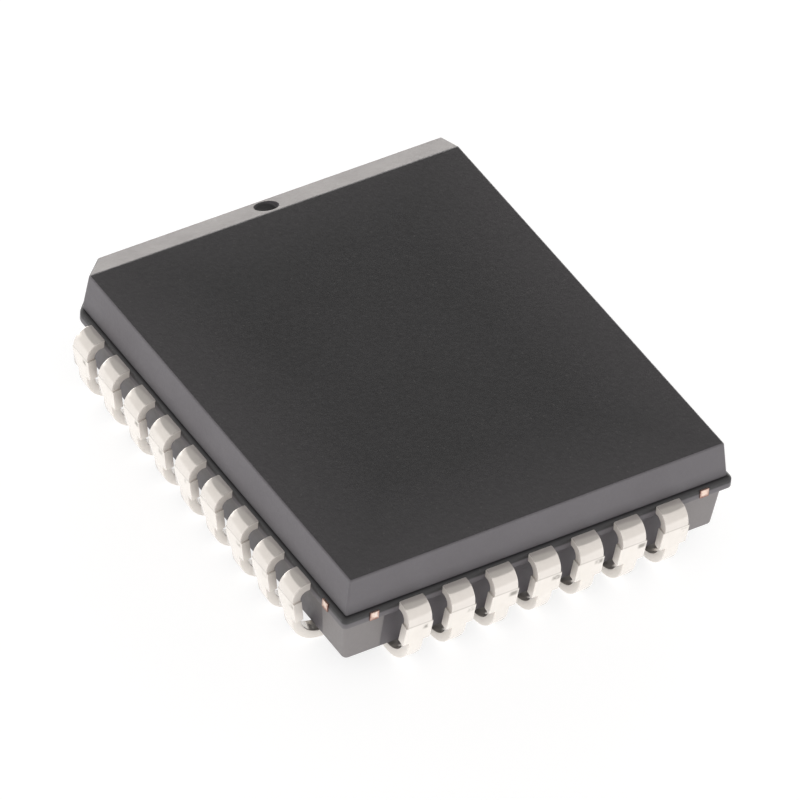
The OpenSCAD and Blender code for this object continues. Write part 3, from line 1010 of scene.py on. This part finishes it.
def make_floor():
    """Floor that looks white and keeps the shadow, and gives a soft light from below."""
    bpy.ops.object.select_all(action="DESELECT")
    bpy.ops.mesh.primitive_plane_add(size=FLOOR_SIZE)
    floor_plane = bpy.context.object
    floor_plane.name = "studio_floor"
    material = bpy.data.materials.new("white_floor")
    material.use_nodes = True
    tree = material.node_tree
    surface = tree.nodes["Principled BSDF"]
    surface.inputs["Roughness"].default_value = FLOOR_ROUGHNESS
    surface.inputs["Emission Color"].default_value = WHITE
    direct = seen_directly(tree)
    pale = mix_colours(tree, direct, FLOOR_TONE, FLOOR_TONE_SEEN)
    glow = spread(tree, direct, 0.0, 1.0, FLOOR_GLOW, FLOOR_GLOW_SEEN)
    tree.links.new(pale, surface.inputs["Base Color"])
    tree.links.new(glow, surface.inputs["Emission Strength"])
    floor_plane.data.materials.append(material)


def towards(tree, way, heading):
    """How nearly a direction points along a heading: the cosine of the angle between them."""
    node = add_node(tree, "ShaderNodeVectorMath", operation="DOT_PRODUCT")
    tree.links.new(way, node.inputs[0])
    node.inputs[1].default_value = heading
    return node.outputs["Value"]


def light_studio():
    """Even sky, brighter low behind the object, with a dim ceiling whose edge the leads reflect."""
    world = bpy.data.worlds.new("studio")
    bpy.context.scene.world = world
    world.use_nodes = True
    tree = world.node_tree
    tree.nodes.clear()
    result = tree.nodes.new("ShaderNodeOutputWorld")
    way = tree.nodes.new("ShaderNodeTexCoord").outputs["Generated"]
    low = spread(tree, split_axes(tree, way)["Z"], *GLOW_HEIGHT, 1.0, 0.0)
    behind = spread(tree, towards(tree, way, BEHIND_HEADING), *GLOW_WIDTH)
    glow = math_node(tree, "MULTIPLY", math_node(tree, "MULTIPLY", low, behind), LOW_GLOW)
    ceiling = spread(tree, towards(tree, way, CEILING_HEADING), *CEILING_EDGE)
    strength = add_node(tree, "ShaderNodeMix", data_type="FLOAT")
    tree.links.new(ceiling, strength.inputs["Factor"])
    tree.links.new(math_node(tree, "ADD", glow, SKY), strength.inputs["A"])
    strength.inputs["B"].default_value = CEILING
    lit = tree.nodes.new("ShaderNodeBackground")
    lit.inputs["Color"].default_value = SKY_TINT
    tree.links.new(strength.outputs["Result"], lit.inputs["Strength"])
    white = tree.nodes.new("ShaderNodeBackground")
    white.inputs["Color"].default_value = WHITE
    path = tree.nodes.new("ShaderNodeLightPath")
    choose = tree.nodes.new("ShaderNodeMixShader")
    tree.links.new(path.outputs["Is Camera Ray"], choose.inputs[0])
    tree.links.new(lit.outputs["Background"], choose.inputs[1])
    tree.links.new(white.outputs["Background"], choose.inputs[2])
    tree.links.new(choose.outputs["Shader"], result.inputs["Surface"])


def set_camera():
    """Camera at the photograph's angle."""
    across = cos(CAMERA_RISE)
    back = Vector((sin(CAMERA_TURN) * across, -cos(CAMERA_TURN) * across, sin(CAMERA_RISE)))
    right = Vector((cos(CAMERA_TURN), sin(CAMERA_TURN), 0))
    up = back.cross(right)
    tilted_right = right * cos(CAMERA_ROLL) + up * sin(CAMERA_ROLL)
    tilted_up = up * cos(CAMERA_ROLL) - right * sin(CAMERA_ROLL)
    stand = CAMERA_AIM + CAMERA_DISTANCE * back
    columns = Matrix((tilted_right, tilted_up, back)).transposed()
    data = bpy.data.cameras.new("photo_camera")
    data.sensor_width = SENSOR_W
    data.lens = FOCAL_PIXELS * SENSOR_W / PHOTO_PIXELS
    data.clip_start = CLIP_START
    camera = bpy.data.objects.new("photo_camera", data)
    bpy.context.scene.collection.objects.link(camera)
    camera.matrix_world = Matrix.Translation(stand) @ columns.to_4x4()
    bpy.context.scene.camera = camera


make_floor()
light_studio()
set_camera()
bpy.context.scene.view_settings.view_transform = "Standard"
